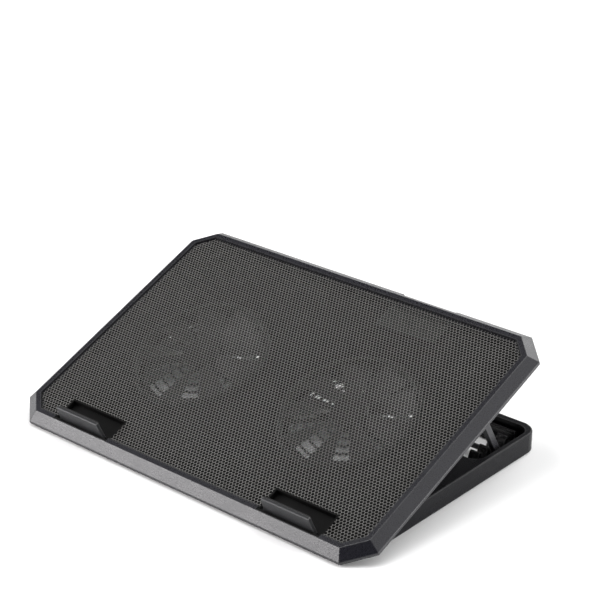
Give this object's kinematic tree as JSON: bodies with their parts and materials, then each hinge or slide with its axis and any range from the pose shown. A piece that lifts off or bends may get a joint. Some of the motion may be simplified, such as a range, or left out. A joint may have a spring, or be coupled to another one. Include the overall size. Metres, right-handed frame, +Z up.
{
  "type": "laptop cooling pad",
  "caption": "Tilted laptop cooling pad with a black perforated top, bevelled grey casing, fold-down front stops, fans and a prop that stands in a notched base tray.",
  "frame": {"origin": "on the floor, under the centre of the whole object", "axes": "+X to the right along the front lip, +Y from the front lip to the rear, +Z up"},
  "size_m": [0.366, 0.2398, 0.1001],
  "materials": {
    "casing_plastic": "fine-grained satin",
    "mesh_metal": "satin black coat",
    "base_plastic": "fine-grained satin",
    "rubber": "matt",
    "prop_plastic": "satin",
    "steel": "bright",
    "stop_plastic": "satin",
    "fan_plastic": "satin black",
    "guard_plastic": "satin black",
    "motor": "dull",
    "board": "lacquered green",
    "inlet_metal": "plain",
    "black_plastic": "matt"
  },
  "bodies": {
    "base": {"base_tray": "base_plastic", "base_feet": "rubber", "rear_ridge": "base_plastic", "rack_left": "base_plastic", "rack_right": "base_plastic"},
    "pad": {"top_frame": "casing_plastic", "mesh_panel": "mesh_metal", "bottom_shell": "casing_plastic", "rear_panel": "casing_plastic", "usb_inlet_shell": "inlet_metal", "usb_inlet_tongue": "black_plastic", "switch_body": "black_plastic", "control_board": "board", "prop_pivot_pins": "steel", "hinge_pins": "steel", "shell_screws": "steel", "prop_bracket_left": "prop_plastic", "prop_bracket_right": "prop_plastic", "stop_pocket_left": "stop_plastic", "stop_pocket_right": "stop_plastic", "stop_pin_left": "steel", "stop_pin_right": "steel", "fan_frame_left": "fan_plastic", "fan_frame_right": "fan_plastic", "fan_stator_left": "motor", "fan_stator_right": "motor", "fan_guard_left": "guard_plastic", "fan_guard_right": "guard_plastic"},
    "prop": {"prop_crossbar": "prop_plastic", "prop_arm_left": "prop_plastic", "prop_arm_right": "prop_plastic"},
    "stop_left": {"front_stop_left": "stop_plastic", "stop_pad_left": "rubber"},
    "stop_right": {"front_stop_right": "stop_plastic", "stop_pad_right": "rubber"},
    "rotor_left": {"fan_rotor_left": "fan_plastic", "fan_shaft_left": "steel"},
    "rotor_right": {"fan_rotor_right": "fan_plastic", "fan_shaft_right": "steel"},
    "knob": {"switch_knob": "black_plastic"}
  },
  "joints": [
    {"name": "pad_tilt", "type": "hinge", "parent": "base", "child": "pad", "pos_m": [0, -0.1143, 0.00559], "axis": [1, 0, 0], "range_deg": [0, 24]},
    {"name": "prop_swing", "type": "hinge", "parent": "pad", "child": "prop", "pos_m": [0, 0.04779, 0.06169], "axis": [1, 0, 0], "range_deg": [0, 60]},
    {"name": "stop_fold_left", "type": "hinge", "parent": "pad", "child": "stop_left", "pos_m": [-0.109, -0.10941, 0.01112], "axis": [1, 0, 0], "range_deg": [-90, 0]},
    {"name": "stop_fold_right", "type": "hinge", "parent": "pad", "child": "stop_right", "pos_m": [0.109, -0.10941, 0.01112], "axis": [1, 0, 0], "range_deg": [-90, 0]},
    {"name": "fan_spin_left", "type": "hinge", "parent": "pad", "child": "rotor_left", "pos_m": [-0.078, -0.00573, 0.04654], "axis": [0, -0.3746, 0.9272], "continuous": true},
    {"name": "fan_spin_right", "type": "hinge", "parent": "pad", "child": "rotor_right", "pos_m": [0.078, -0.00573, 0.04654], "axis": [0, -0.3746, 0.9272], "continuous": true},
    {"name": "switch_slide", "type": "slide", "parent": "pad", "child": "knob", "axis": [1, 0, 0], "range_m": [0, 0.004]}
  ],
  "couplings": [
    {"joint": "prop_swing", "follows": "pad_tilt", "ratio": 2.5}
  ]
}
